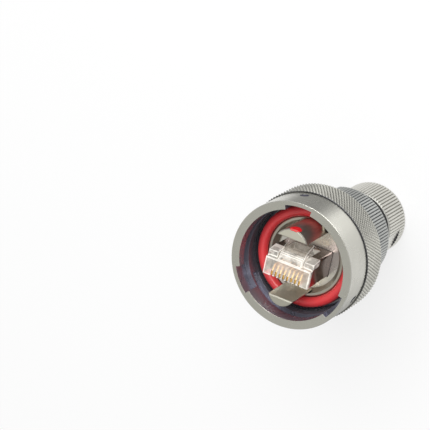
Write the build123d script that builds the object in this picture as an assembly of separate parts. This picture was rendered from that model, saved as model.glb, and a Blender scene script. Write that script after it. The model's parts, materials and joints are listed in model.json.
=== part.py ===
"""Circular ethernet connector: an 8-way modular plug held inside a round bayonet plug shell.

Millimetres, +Z up.  The origin is the centre of the gland nut's rear face, on which the connector
stands with its mating face up.  +Y is the side of the modular plug's latch.
"""
from build123d import *

import os
from math import cos, radians, sin, tan, tau

# Clearances between pieces
RUNNING = 0.05           # radial play of a turning or sliding fit
EASY = 0.10              # play of a piece that is dropped into its place

# Gland nut, from its bore outwards
NUT_BORE_R = 5.9         # bore that holds the cable seal
NUT_LIP = 0.75           # the hole in the rear wall is smaller than the bore by this
NUT_THREAD_WALL = 1.3    # bore to the outside of the thread
NUT_SHOULDER = 0.4       # the smooth skirt stands over the thread by this
NUT_GRIP = 1.5           # the grip's teeth stand over the skirt by this
NUT_HEAD = 10.2          # length of the gripped head
NUT_WALL = 1.3           # rear wall
NUT_SKIRT = 3.7          # smooth skirt ahead of the head
NUT_THREAD = 3.5
NUT_TEETH = 72
NUT_FLAT_DEPTH = 0.45    # its two wrench flats, below the teeth
NUT_FLAT_LENGTH = 6.6
NUT_FLAT_ANGLE = -13     # degrees round from +X
NUT_STANDOFF = 2.6       # from the head to the backshell's rim
NUT_END_GAP = 0.5        # from the nut's front end to the braid cone's flange
GRIP_DEPTH = 0.3         # depth of a straight grip tooth
GRIP_GROOVE = 0.45       # share of a tooth's pitch that its groove takes
EDGE = 0.35              # usual edge chamfer

# Cable seal and braid clamp inside the nut
WASHER_THICK = 1.0
WASHER_HOLE = 0.6        # the washer's hole is larger than the cable's by this
CABLE_R = 3.2            # bore of the rubber seal
SEAL_LENGTH = 9.7
SEAL_MOUTH = 0.5         # countersink at each end of the seal's bore
CONE_INSET = 0.9         # room for the braid between cone and nut
CONE_WALL = 0.8
CONE_FLANGE = 1.0
BRAID_RING = 4.6         # length of the ring round the cone

# Backshell
BACK_RIM_WALL = 1.5      # rim round the nut's skirt
BACK_CONE = 4.6          # length of its cone
BACK_WALL = 1.83         # front thread to the outside of the grip's teeth
BACK_BAND = 8.55         # length of the gripped band
BACK_TEETH = 100
BACK_FLAT_DEPTH = 0.83   # its two wrench flats, below the teeth
BACK_FLAT_ANGLE = -50
BACK_FLOOR = 1.0         # wall between the nut's thread and the wiring space

# Plug shell
SHELL_THREAD_R = 10.0    # outside of its rear thread
SHELL_WALL = 1.6         # thread to bore
SHELL_END_GAP = 0.6      # rear end to the backshell's floor
NECK_STEP = 0.5          # the neck stands over the thread by this
SHELL_NECK = 3.6         # bare neck between backshell and retaining clip
FLANGE_STEP = 1.95       # the flange stands over the neck by this
SHELL_FLANGE = 1.5       # thickness of the flange
BARREL_WALL = 1.3
BARREL = 1.2             # length of the barrel ahead of the flange
LIP = 1.8                # length of the lip that stops the insert
LIP_STEP = 0.5           # the lip stands into the bore by this
LIP_MOUTH_WALL = 0.8     # barrel's wall at its mouth
SEAL_GROOVE = 1.0        # width of the groove behind the neck
SEAL_GROOVE_DEPTH = 0.5
BACK_O_RING_R = 0.42     # section radius of the seal in that groove

# The two guide fingers: half width of the flat side, height over that side, reach past the ring
UPPER_FINGER = (3.83, 2.4, 2.6)
LOWER_FINGER = (3.12, 2.1, 1.9)
FINGER_EDGE = 0.25

# Coupling ring
RING_CLEAR = 0.79        # shell's flange to the ring's bore
RING_WALL = 2.56         # bore to the crests of the grip
RING_STEP = 0.5          # the smooth front band is lower by this
RING_LENGTH = 16.65
RING_BAND = 8.6
RING_WEB = 4.35          # thickness of the inner flange at its rear
RING_REAR_EDGE = 0.6
LIP_EDGE = 0.12          # chamfer round the band's front
DIAMONDS = 80            # round the grip; the real one has about 125 finer ones
DIAMOND_ANGLE = 30       # slope of the grip's grooves from the axis, degrees
DIAMOND_DEPTH = 0.3
DIAMOND_TAPER = 0.2      # length over which the grip sinks towards the band
RING_PHASE = 95          # degrees, middle of the first bayonet entry
ENTRIES = 3
ENTRY_ANGLE = 27         # width of an entry, degrees
ENTRY_DEPTH = 1.06       # how far an entry goes into the ring's wall
TRACK_DEPTH = 0.96       # how far a track goes into it
TRACK_WIDTH = 2.4
TRACK_START = 3.0        # a track's middle behind the ring's face, at its entry
TRACK_END = 6.3          # and at its inspection hole
TRACK_SWEEP = 114        # degrees from entry to hole
TRACK_OVERRUN = 6        # degrees that a track runs on past its hole
INSPECTION_R = 1.1
RING_FLOAT = 0.6         # axial travel against the wave washer

# Ring hardware on the shell
CLIP_THICK = 1.0
CLIP_WIDTH = 2.1         # the clip stands over the neck by this
CLIP_GROOVE_DEPTH = 0.55
CLIP_GAP = 37            # degrees between the lugs
CLIP_ANGLE = -44         # middle of that gap
LUG_WIDTH = 4.2
LUG_DEPTH = 3.4
LUG_PLACE = 1.9          # lug's middle over the neck
LUG_HOLE_R = 0.95
SLIDE_WASHER = 0.4
SLIDE_WASHER_GAP = 0.34  # to the ring's bore
WAVE_INSET = 0.25        # wave washer inside the flange's edge
WAVE_WIDTH = 1.4
WAVE_THICK = 0.3
WAVE_SPARE = 0.2         # wave left when the ring is drawn fully forward
WAVES = 3
WAVE_STATIONS = 36

FACE_SEAL_INSET = 0.19   # red face seal inside the flange's edge

# Modular plug; heights above and below its middle plane, depths behind its nose
NOSE_REACH = 1.45        # nose ahead of the coupling ring
PLUG_HALF_WIDTH = 5.84
PLUG_BOTTOM = -3.55
PLUG_TOP = 2.75
PLUG_LENGTH = 21.3
PLUG_CORNER = 0.5        # round on its upper corners
NOSE_TOP = 0.8           # top of the lower tier
TIER_FRONT = 0.75        # depth where the upper tier's slope starts
TIER_BACK = 4.35         # depth where it reaches the top
CHANNEL_HALF_WIDTH = 3.4
CHANNEL_LENGTH = 9.85
LATCH_HALF_WIDTH = 3.0
LATCH_TOP = 3.65         # at the hinge
LATCH_HINGE = 2.4        # depth of the hinge
LATCH_RISE = 5.0         # at the locking shoulders
LATCH_SHOULDER = 5.95    # depth of the locking shoulders
LATCH_THICK = 1.1
LATCH_TAIL_HALF = 1.6
LATCH_TAIL_END = 10.2
LATCH_GAP = 0.9          # from the tail to the guide finger over it
CONTACTS = 8
CONTACT_PITCH = 1.016
CONTACT_THICK = 0.36
CONTACT_BOTTOM = -3.1
SLOT_TOP = -0.7
SLOT_MOUTH_TOP = -2.2
SLOT_FRONT = 0.55
SLOT_BACK = 5.7
CABLE_MOUTH = (4.2, -2.75, 2.0, 10.6)  # half width, bottom, top, depth from the rear
WIRE_ROOM = (4.15, -0.4, 0.4, 16.0)
SHIELD_THICK = 0.25
SHIELD_FRONT = 3.35      # depth of the shield's front edge at the bottom
SHIELD_BOTTOM_FRONT = 8.6
SHIELD_REAR = 1.6        # shield's rear edge ahead of the plug's rear end

# Insert
PLATE_THICK = 1.2
CRADLE_FLOOR = 3.35      # behind the plug
CRADLE_MOUTH_R = 4.3
CRADLE_SPLIT = 0.06      # play between the two halves
CLAMP_WALL = 2.0

# Radii that follow
nut_thread_r = NUT_BORE_R + NUT_THREAD_WALL
nut_skirt_r = nut_thread_r + NUT_SHOULDER
nut_r = nut_skirt_r + NUT_GRIP
cone_r = NUT_BORE_R - CONE_INSET
cone_bore_r = cone_r - CONE_WALL
back_r = SHELL_THREAD_R + BACK_WALL
shell_bore_r = SHELL_THREAD_R - SHELL_WALL
groove_r = SHELL_THREAD_R - SEAL_GROOVE_DEPTH
back_o_ring_r = groove_r + RUNNING + BACK_O_RING_R
neck_r = SHELL_THREAD_R + NECK_STEP
flange_r = neck_r + FLANGE_STEP
barrel_r = shell_bore_r + BARREL_WALL
face_seal_section_r = (flange_r - FACE_SEAL_INSET - barrel_r - EASY) / 2
ring_bore_r = flange_r + RING_CLEAR
ring_web_r = neck_r + RUNNING
ring_r = ring_bore_r + RING_WALL
ring_band_r = ring_r - RING_STEP
insert_r = shell_bore_r - RUNNING

# Heights that follow, from the standing face up
seal_bottom = NUT_WALL + WASHER_THICK
seal_top = seal_bottom + SEAL_LENGTH
skirt_top = NUT_HEAD + NUT_SKIRT
nut_top = skirt_top + NUT_THREAD
rim = NUT_HEAD + NUT_STANDOFF
cone_flange_bottom = nut_top + NUT_END_GAP
back_seat = cone_flange_bottom + CONE_FLANGE
back_floor = back_seat + BACK_FLOOR
shell_bottom = back_floor + SHELL_END_GAP
band_bottom = rim + BACK_CONE
back_top = band_bottom + BACK_BAND
neck_top = back_top + SHELL_NECK
ring_bottom = neck_top + CLIP_THICK
web_top = ring_bottom + RING_WEB
ring_top = ring_bottom + RING_LENGTH
wave_height = WAVE_THICK + RING_FLOAT + WAVE_SPARE
flange_bottom = web_top + SLIDE_WASHER + wave_height
flange_top = flange_bottom + SHELL_FLANGE
barrel_top = flange_top + BARREL
plate_top = barrel_top - LIP
cradle_top = plate_top - PLATE_THICK
nose = ring_top + NOSE_REACH
plug_rear = nose - PLUG_LENGTH
cradle_bottom = plug_rear - CRADLE_FLOOR


def turned(*outline):
    """Solid turned about the axis from (radius, height) corners."""
    return revolve(Plane.XZ * make_face(Polyline(*outline, close=True)), Axis.Z)


def tube(outer, inner, low, high):
    """Plain tube between two heights."""
    return turned((inner, low), (outer, low), (outer, high), (inner, high))


def disc(radius, low, high):
    """Plain disc between two heights."""
    return Pos(0, 0, low) * Cylinder(radius, high - low, align=(Align.CENTER, Align.CENTER, Align.MIN))


def block(x_range, y_range, z_range):
    """Box given by its three ranges."""
    size = [high - low for low, high in (x_range, y_range, z_range)]
    middle = [(high + low) / 2 for low, high in (x_range, y_range, z_range)]
    return Pos(*middle) * Box(*size)


def around(angle, radius=0.0):
    """Place at an angle round the axis, in degrees, and a radius."""
    return Rot(0, 0, angle) * Pos(radius, 0, 0)


def grip_teeth(radius, count, low, high):
    """Prism with straight V-grooves round it, as a straight knurl leaves."""
    step = tau / count
    crest = step * (1 - GRIP_GROOVE) / 2
    root = radius - GRIP_DEPTH
    corners = []
    for tooth in range(count):
        middle = tooth * step
        for r, angle in ((radius, middle - crest), (radius, middle + crest), (root, middle + step / 2)):
            corners.append((r * cos(angle), r * sin(angle)))
    return Pos(0, 0, low) * extrude(make_face(Polyline(*corners, close=True)), high - low)


def wrench_flats(radius, depth, angle, low, high):
    """The two slabs that a pair of wrench flats takes off."""
    slab = block((radius - depth, radius + EDGE), (-radius, radius), (low, high))
    return Rot(0, 0, angle) * (slab + Rot(0, 0, 180) * slab)


def make_gland_nut():
    """Nut with a straight grip, two flats, a smooth skirt and a threaded end."""
    envelope = turned((0, 0), (nut_r - EDGE, 0), (nut_r, EDGE), (nut_r, NUT_HEAD - EDGE),
                      (nut_r - EDGE, NUT_HEAD), (0, NUT_HEAD))
    head = grip_teeth(nut_r, NUT_TEETH, 0, NUT_HEAD) & envelope
    head -= wrench_flats(nut_r, NUT_FLAT_DEPTH, NUT_FLAT_ANGLE, NUT_HEAD - NUT_FLAT_LENGTH, NUT_HEAD + EDGE)
    front = turned((0, NUT_HEAD - EDGE), (nut_skirt_r, NUT_HEAD - EDGE), (nut_skirt_r, skirt_top - EDGE),
                   (nut_skirt_r - EDGE, skirt_top), (nut_thread_r, skirt_top),
                   (nut_thread_r, nut_top - EDGE), (nut_thread_r - EDGE, nut_top), (0, nut_top))
    hole_r = NUT_BORE_R - NUT_LIP
    inside = turned((0, -EDGE), (hole_r + EDGE, -EDGE), (hole_r + EDGE / 2, 0), (hole_r, EDGE / 2),
                    (hole_r, NUT_WALL), (NUT_BORE_R, NUT_WALL), (NUT_BORE_R, nut_top + EDGE),
                    (0, nut_top + EDGE))
    return head + front - inside


def make_thrust_washer():
    """Washer that lets the nut turn without twisting the seal."""
    return tube(NUT_BORE_R - RUNNING, CABLE_R + WASHER_HOLE, NUT_WALL, seal_bottom)


def make_cable_seal():
    """Rubber bush that the nut squeezes on the cable."""
    outer = NUT_BORE_R - EASY
    return turned((CABLE_R + SEAL_MOUTH, seal_bottom), (outer, seal_bottom), (outer, seal_top - EDGE),
                  (outer - EDGE, seal_top), (CABLE_R + SEAL_MOUTH, seal_top),
                  (CABLE_R, seal_top - SEAL_MOUTH), (CABLE_R, seal_bottom + SEAL_MOUTH))


def make_braid_cone():
    """Flanged sleeve that the cable's braid is folded back over."""
    flange = nut_thread_r - EASY
    return turned((cone_bore_r, seal_top), (cone_r - EDGE, seal_top), (cone_r, seal_top + EDGE),
                  (cone_r, cone_flange_bottom), (flange, cone_flange_bottom), (flange, back_seat),
                  (cone_bore_r, back_seat))


def make_braid_ring():
    """Ring that grips the braid on the sleeve."""
    return tube(NUT_BORE_R - EASY, cone_r + EASY, seal_top, seal_top + BRAID_RING)


def make_backshell():
    """Cone and gripped band with two flats, threaded inside at both ends."""
    rim_r = nut_skirt_r + BACK_RIM_WALL
    envelope = turned((0, rim), (rim_r - EDGE / 2, rim), (rim_r, rim + EDGE / 2), (back_r, band_bottom),
                      (back_r, back_top - EDGE), (back_r - EDGE, back_top), (0, back_top))
    body = grip_teeth(back_r, BACK_TEETH, rim, back_top) & envelope
    body -= wrench_flats(back_r, BACK_FLAT_DEPTH, BACK_FLAT_ANGLE, rim - EDGE, back_top + EDGE)
    recess_r = nut_skirt_r + EDGE + RUNNING
    thread_r = nut_thread_r + RUNNING
    front_r = SHELL_THREAD_R + RUNNING
    mouth_r = back_o_ring_r + BACK_O_RING_R + RUNNING
    mouth = back_top - SEAL_GROOVE - RUNNING
    inside = turned((0, rim - EDGE), (recess_r, rim - EDGE), (recess_r, skirt_top), (thread_r, skirt_top),
                    (thread_r, back_seat), (cone_r, back_seat), (cone_r, back_floor),
                    (front_r, back_floor), (front_r, mouth), (mouth_r, mouth), (mouth_r, back_top + EDGE),
                    (0, back_top + EDGE))
    return body - inside


def make_backshell_o_ring():
    """Seal between the backshell's mouth and the plug shell's neck."""
    return Pos(0, 0, back_top - SEAL_GROOVE / 2) * Torus(back_o_ring_r, BACK_O_RING_R)


def make_clamp_ring():
    """Ring on the backshell's floor that presses the cradle forward."""
    outer = shell_bore_r - EASY
    return tube(outer, outer - CLAMP_WALL, back_floor, cradle_bottom)


def guide_finger(half_width, height, reach):
    """Half-moon finger from the insert's face to past the ring, on the +Y side."""
    flat_y = barrel_r - height
    moon = make_face([Line((-half_width, flat_y), (half_width, flat_y)),
                      ThreePointArc((half_width, flat_y), (0, barrel_r), (-half_width, flat_y))])
    finger = Pos(0, 0, plate_top) * extrude(moon, ring_top + reach - plate_top)
    return chamfer(finger.edges().group_by(Axis.Z)[-1], FINGER_EDGE)


def make_plug_shell():
    """Turned shell: rear thread, neck, clip groove, ring seat, flange, barrel and two fingers."""
    clip_r = neck_r - CLIP_GROOVE_DEPTH
    lip_r = shell_bore_r - LIP_STEP
    shell = turned((shell_bore_r, shell_bottom), (SHELL_THREAD_R - EDGE, shell_bottom),
                   (SHELL_THREAD_R, shell_bottom + EDGE), (SHELL_THREAD_R, back_top - SEAL_GROOVE),
                   (groove_r, back_top - SEAL_GROOVE), (groove_r, back_top), (neck_r, back_top),
                   (neck_r, neck_top), (clip_r, neck_top), (clip_r, ring_bottom), (neck_r, ring_bottom),
                   (neck_r, flange_bottom), (flange_r, flange_bottom), (flange_r, flange_top - FINGER_EDGE),
                   (flange_r - FINGER_EDGE, flange_top), (barrel_r, flange_top),
                   (barrel_r, barrel_top - FINGER_EDGE), (barrel_r - FINGER_EDGE, barrel_top),
                   (barrel_r - LIP_MOUTH_WALL, barrel_top), (lip_r, plate_top + EDGE), (lip_r, plate_top),
                   (shell_bore_r, plate_top))
    upper = guide_finger(*UPPER_FINGER)
    lower = Rot(0, 0, 180) * guide_finger(*LOWER_FINGER)
    return shell + upper + lower


def make_retaining_clip():
    """External retaining clip with a lug and hole at each side of its gap."""
    outer = neck_r + CLIP_WIDTH
    gap_corner = 2 * outer * sin(radians(CLIP_GAP / 2))
    gap = make_face(Polyline((0, 0), (2 * outer, -gap_corner), (2 * outer, gap_corner), close=True))
    flat = Circle(outer) - Circle(neck_r - CLIP_GROOVE_DEPTH + RUNNING) - gap
    lug_r = neck_r + LUG_PLACE
    lug_turn = CLIP_GAP / 2 + LUG_WIDTH / (2 * radians(lug_r))
    for side in (-1, 1):
        flat += around(side * lug_turn, lug_r) * RectangleRounded(LUG_DEPTH, LUG_WIDTH, EDGE)
    for side in (-1, 1):
        flat -= around(side * lug_turn, lug_r) * Circle(LUG_HOLE_R)
    return Pos(0, 0, neck_top) * Rot(0, 0, CLIP_ANGLE) * extrude(flat, CLIP_THICK)


def bayonet_track():
    """Helical groove from the middle of an entry, at angle 0, to just past its inspection hole."""
    sweep_angle = TRACK_SWEEP + TRACK_OVERRUN
    lead = (TRACK_END - TRACK_START) * 360 / TRACK_SWEEP
    drop = lead * sweep_angle / 360
    path = Helix(lead, drop, ring_bore_r)
    section = Plane(path @ 0, x_dir=(1, 0, 0), z_dir=path % 0) * Rectangle(2 * TRACK_DEPTH, TRACK_WIDTH)
    track = sweep(section, path, is_frenet=True)
    return Rot(0, 0, -sweep_angle) * Pos(0, 0, ring_top - TRACK_START - drop) * track


def diamond_grip(low, high):
    """Bar with a diamond grip: rows of four-sided pyramids between two families of grooves.

    Crests and groove crossings alternate round each level, and from one level to the next.
    """
    columns = 2 * DIAMONDS
    rear_r = ring_r - RING_REAR_EDGE
    root_r = ring_r - DIAMOND_DEPTH
    first = low + RING_REAR_EDGE
    last = high - DIAMOND_TAPER
    rows = round((last - first) * tan(radians(DIAMOND_ANGLE)) * columns / (tau * ring_r))
    levels = [(first + (last - first) * row / rows, ring_r, root_r) for row in range(rows + 1)]
    levels = [(low, rear_r, rear_r), *levels, (high, root_r, root_r)]

    def corner(column, row):
        """Crest or groove crossing at one place of the pattern."""
        height, crest, root = levels[row]
        radius = root if (column + row) % 2 else crest
        return radius * cos(tau * column / columns), radius * sin(tau * column / columns), height

    ends = [[corner(column, row) for column in range(columns)] for row in (0, rows + 2)]
    slopes = []
    for row in range(rows + 2):
        for column in range(columns):
            side = (column + row + 1) % 2
            groove = [(column + side, row), (column + 1 - side, row + 1)]
            for crest in ((column + 1 - side, row), (column + side, row + 1)):
                slopes.append([corner(*place) for place in (*groove, crest)])
    return Solid(Shell([Face(Wire.make_polygon(outline)) for outline in ends + slopes]))


def make_coupling_ring():
    """Ring with a diamond grip, smooth band, three bayonet entries, tracks and inspection holes."""
    step = ring_top - RING_BAND
    inside = turned((0, ring_bottom - EDGE), (ring_web_r, ring_bottom - EDGE), (ring_web_r, web_top),
                    (ring_bore_r, web_top), (ring_bore_r, step + EDGE), (0, step + EDGE))
    band = turned((ring_bore_r, step), (ring_band_r, step), (ring_band_r, ring_top - LIP_EDGE),
                  (ring_band_r - LIP_EDGE, ring_top), (ring_bore_r, ring_top))
    entry_height = TRACK_START + TRACK_WIDTH / 2
    entry_place = Pos(ring_bore_r, ring_top + (EDGE - entry_height) / 2)
    entry_face = Plane.XZ * entry_place * Rectangle(2 * ENTRY_DEPTH, entry_height + EDGE)
    entry = Rot(0, 0, -ENTRY_ANGLE / 2) * revolve(entry_face, Axis.Z, ENTRY_ANGLE)
    hole = Rot(0, 90, 0) * Cylinder(INSPECTION_R, RING_WALL + EDGE, align=(Align.CENTER, Align.CENTER, Align.MIN))
    hole = around(-TRACK_SWEEP) * Pos(ring_bore_r - EDGE, 0, ring_top - TRACK_END) * hole
    track = bayonet_track()
    for index in range(ENTRIES):
        turn = Rot(0, 0, RING_PHASE + index * 360 / ENTRIES)
        band = band - turn * entry - turn * track - turn * hole
    return diamond_grip(ring_bottom, step) - inside + band


def make_slide_washer():
    """Flat washer that the wave washer bears on, so that the ring turns freely."""
    return tube(ring_bore_r - SLIDE_WASHER_GAP, ring_web_r, web_top, web_top + SLIDE_WASHER)


def make_wave_washer():
    """Spring washer whose three waves hold the coupling ring back against the clip."""
    swing = (wave_height - WAVE_THICK) / 2
    middle = flange_bottom - wave_height / 2
    radius = flange_r - WAVE_INSET - WAVE_WIDTH / 2

    def section(station):
        """Rectangular section of the spring strip at one station round it."""
        angle = tau * station / WAVE_STATIONS
        height = middle + swing * cos(WAVES * angle)
        place = Plane((radius * cos(angle), radius * sin(angle), height),
                      x_dir=(cos(angle), sin(angle), 0), z_dir=(-sin(angle), cos(angle), 0))
        return place * Rectangle(WAVE_WIDTH, WAVE_THICK)

    half = WAVE_STATIONS // 2
    halves = [loft([section(first + index) for index in range(half + 1)], ruled=True) for first in (0, half)]
    return halves[0] + halves[1]


def make_face_seal():
    """Red seal round the barrel, on the shell's flange."""
    radius = barrel_r + EASY + face_seal_section_r
    return Pos(0, 0, flange_top + face_seal_section_r) * Torus(radius, face_seal_section_r)


def plug_outline(spare):
    """Width and height ranges of the modular plug, with some spare all round."""
    half = PLUG_HALF_WIDTH + spare
    return (-half, half), (PLUG_BOTTOM - spare, PLUG_TOP + spare)


def make_insert_plate():
    """Bright disc behind the shell's lip, with a window for the shielded plug."""
    return disc(insert_r, cradle_top, plate_top) - block(*plug_outline(RUNNING), (cradle_top - EDGE, plate_top + EDGE))


def make_cradle(side):
    """Half of the moulded cradle round the plug: side is 1 for the latch side, -1 for the other."""
    whole = disc(insert_r, cradle_bottom, cradle_top)
    whole -= block(*plug_outline(RUNNING), (plug_rear, cradle_top + EDGE))
    whole -= disc(CRADLE_MOUTH_R, cradle_bottom - EDGE, plug_rear + EDGE)
    reach = 2 * shell_bore_r
    y_range = (CRADLE_SPLIT / 2, reach) if side > 0 else (-reach, -CRADLE_SPLIT / 2)
    return whole & block((-reach, reach), y_range, (cradle_bottom - EDGE, cradle_top + EDGE))


def contact_places():
    """Distance of each contact from the middle of the plug."""
    return [(index - (CONTACTS - 1) / 2) * CONTACT_PITCH for index in range(CONTACTS)]


def side_profile(*corners):
    """Face in the plug's side view from (height, depth behind the nose) corners."""
    return Plane.YZ * make_face(Polyline(*[(y, nose - depth) for y, depth in corners], close=True))


def latch_channel(high):
    """Space under the latch, open at the top."""
    half = CHANNEL_HALF_WIDTH
    return block((-half, half), (NOSE_TOP, high), (nose - CHANNEL_LENGTH, nose + EDGE))


def make_latch():
    """Sprung lever of the plug: a sloping root at the nose, a wide catch and a narrow tail."""
    under = LATCH_RISE - LATCH_THICK
    elbow = 0.7 * LATCH_THICK
    catch = side_profile((NOSE_TOP - EDGE, TIER_FRONT), (NOSE_TOP, TIER_FRONT),
                         (LATCH_TOP - EDGE, LATCH_HINGE - EDGE / 2), (LATCH_TOP, LATCH_HINGE + EDGE / 2),
                         (LATCH_RISE, LATCH_SHOULDER), (under, LATCH_SHOULDER),
                         (LATCH_TOP - elbow, LATCH_HINGE + elbow), (NOSE_TOP, TIER_FRONT + LATCH_THICK),
                         (NOSE_TOP - EDGE, TIER_FRONT + LATCH_THICK))
    tail_top = barrel_r - UPPER_FINGER[1] - LATCH_GAP
    start = LATCH_SHOULDER - LATCH_THICK
    tail = side_profile((under, start), (LATCH_RISE - LATCH_THICK / 2, start), (tail_top, LATCH_TAIL_END),
                        (tail_top - LATCH_THICK / 2, LATCH_TAIL_END), (under, LATCH_SHOULDER))
    return extrude(catch, LATCH_HALF_WIDTH, both=True) + extrude(tail, LATCH_TAIL_HALF, both=True)


def shield_sleeve(spare):
    """Sheet round the plug where latch and contacts leave room for it, with some spare outside."""
    sleeve = block(*plug_outline(spare), (plug_rear + SHIELD_REAR, nose))
    if not spare:
        sleeve = fillet(sleeve.edges().filter_by(Axis.Z), PLUG_CORNER)
    sleeve -= block(*plug_outline(-SHIELD_THICK), (plug_rear, nose + EDGE))
    low, high = PLUG_BOTTOM - 2 * EDGE, PLUG_TOP + 2 * EDGE
    ahead = side_profile((low, -EDGE), (low, SHIELD_FRONT), (PLUG_BOTTOM, SHIELD_FRONT), (PLUG_TOP, TIER_BACK),
                         (high, TIER_BACK), (high, -EDGE))
    sleeve -= extrude(ahead, 2 * PLUG_HALF_WIDTH, both=True)
    inner = PLUG_HALF_WIDTH - SHIELD_THICK
    sleeve -= block((-inner, inner), (low, PLUG_BOTTOM + EDGE), (nose - SHIELD_BOTTOM_FRONT, nose))
    return sleeve - latch_channel(high)


def make_modular_plug():
    """Clear moulded 8-way plug with its latch, contact slots and cable mouth."""
    body = extrude(side_profile((PLUG_BOTTOM, 0), (NOSE_TOP, 0), (NOSE_TOP, TIER_FRONT), (PLUG_TOP, TIER_BACK),
                                (PLUG_TOP, PLUG_LENGTH), (PLUG_BOTTOM, PLUG_LENGTH)),
                   PLUG_HALF_WIDTH, both=True)
    upper_corners = body.edges().filter_by(
        lambda e: abs(e.center().X) > PLUG_HALF_WIDTH - EDGE and e.center().Y > NOSE_TOP + EDGE)
    body = fillet(upper_corners, PLUG_CORNER)
    body = chamfer(body.faces().sort_by(Axis.Z)[-1].edges(), EDGE / 2)
    body -= shield_sleeve(EDGE)
    body -= latch_channel(PLUG_TOP + EDGE)
    half, low, high, depth = CABLE_MOUTH
    body -= block((-half, half), (low, high), (plug_rear - EDGE, plug_rear + depth))
    half, low, high, depth = WIRE_ROOM
    body -= block((-half, half), (low, high), (plug_rear, plug_rear + depth))
    slot_half = CONTACT_THICK / 2 + RUNNING
    for x in contact_places():
        span = (x - slot_half, x + slot_half)
        body -= block(span, (PLUG_BOTTOM - EDGE, SLOT_TOP), (nose - SLOT_BACK, nose - SLOT_FRONT))
        body -= block(span, (PLUG_BOTTOM - EDGE, SLOT_MOUTH_TOP), (nose - SLOT_BACK, nose + EDGE))
    return body + make_latch()


def make_plug_contacts():
    """The eight blades, each standing in its slot."""
    front = SLOT_FRONT + EASY
    back = SLOT_BACK - EASY
    blade = side_profile((SLOT_TOP, front), (SLOT_TOP, back), (CONTACT_BOTTOM, back), (CONTACT_BOTTOM, front))
    blade = extrude(blade, CONTACT_THICK / 2, both=True)
    blade = fillet(blade.edges().filter_by(Axis.X).group_by(Axis.Y)[0], EDGE)
    return Compound([Pos(x, 0, 0) * blade for x in contact_places()])


def make_plug_shield():
    """Folded sheet round the plug: sides, a slotted top for the latch and a short bottom."""
    return shield_sleeve(0)


PIECES = {
    "gland_nut": make_gland_nut,
    "thrust_washer": make_thrust_washer,
    "cable_seal": make_cable_seal,
    "braid_cone": make_braid_cone,
    "braid_ring": make_braid_ring,
    "backshell": make_backshell,
    "backshell_o_ring": make_backshell_o_ring,
    "clamp_ring": make_clamp_ring,
    "plug_shell": make_plug_shell,
    "retaining_clip": make_retaining_clip,
    "coupling_ring": make_coupling_ring,
    "slide_washer": make_slide_washer,
    "wave_washer": make_wave_washer,
    "face_seal": make_face_seal,
    "insert_plate": make_insert_plate,
    "cradle_upper": lambda: make_cradle(1),
    "cradle_lower": lambda: make_cradle(-1),
    "modular_plug": make_modular_plug,
    "plug_contacts": make_plug_contacts,
    "plug_shield": make_plug_shield,
}

os.makedirs("parts", exist_ok=True)
for node, make in PIECES.items():
    export_step(make(), f"parts/{node}.step")
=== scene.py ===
"""Looks of a circular ethernet connector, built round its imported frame.

Metres, +Z up, in the frame's own coordinates: the connector stands on its gland nut with its mating
face up, and +Y is the side of the modular plug's latch.
"""

import json
import logging
import math
from dataclasses import dataclass
from enum import Enum

import bmesh
import bpy
from mathutils import Matrix, Vector


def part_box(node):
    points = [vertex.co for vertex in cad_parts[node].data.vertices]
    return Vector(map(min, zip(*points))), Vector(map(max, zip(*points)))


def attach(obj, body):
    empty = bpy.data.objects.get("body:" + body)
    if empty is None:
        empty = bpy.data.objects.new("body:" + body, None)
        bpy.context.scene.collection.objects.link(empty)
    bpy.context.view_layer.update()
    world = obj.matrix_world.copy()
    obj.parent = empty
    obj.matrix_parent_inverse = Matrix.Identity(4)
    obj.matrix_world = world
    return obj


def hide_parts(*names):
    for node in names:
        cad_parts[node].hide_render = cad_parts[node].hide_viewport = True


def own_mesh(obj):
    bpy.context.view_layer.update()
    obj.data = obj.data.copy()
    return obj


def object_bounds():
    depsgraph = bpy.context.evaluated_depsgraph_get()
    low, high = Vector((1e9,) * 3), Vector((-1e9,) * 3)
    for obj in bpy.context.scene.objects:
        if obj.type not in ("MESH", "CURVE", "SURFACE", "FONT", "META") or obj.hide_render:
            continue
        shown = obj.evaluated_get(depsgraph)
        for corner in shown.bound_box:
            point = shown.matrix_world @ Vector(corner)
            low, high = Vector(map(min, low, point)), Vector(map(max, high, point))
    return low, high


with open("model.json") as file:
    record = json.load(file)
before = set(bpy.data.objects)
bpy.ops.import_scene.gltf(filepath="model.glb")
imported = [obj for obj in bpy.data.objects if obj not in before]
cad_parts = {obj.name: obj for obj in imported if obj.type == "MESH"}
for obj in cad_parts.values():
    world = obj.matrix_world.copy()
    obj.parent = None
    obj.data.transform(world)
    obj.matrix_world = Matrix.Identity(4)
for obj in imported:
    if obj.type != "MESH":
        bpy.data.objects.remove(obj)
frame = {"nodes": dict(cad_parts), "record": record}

CAD_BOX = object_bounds()
MM = 0.001
WELD = 0.0005 * MM
SHARP = math.radians(24)
EDGE_SLOT = 1
WHITE = (1.0, 1.0, 1.0, 1.0)
BLACK = (0.0, 0.0, 0.0, 1.0)
log = logging.getLogger("connector")

Colour = tuple[float, float, float, float]
Point = tuple[float, float, float]
Span = tuple[float, float]
Outline = tuple[Span, ...]
Material = bpy.types.Material
Mesh = bpy.types.Mesh
Node = bpy.types.Node
Socket = bpy.types.NodeSocket
Shape = bmesh.types.BMesh
Vertex = bmesh.types.BMVert


class Effect(Enum):
    """Surface effects that more than one finish uses."""

    WORN_EDGES = "worn_edges"
    CLOUDS = "clouds"
    LATHE_MARKS = "lathe_marks"
    CAVITIES = "cavities"


class Body(Enum):
    """Moving bodies that new pieces ride on."""

    BACKSHELL = "backshell"
    SHELL = "shell"
    RING = "ring"


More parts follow.
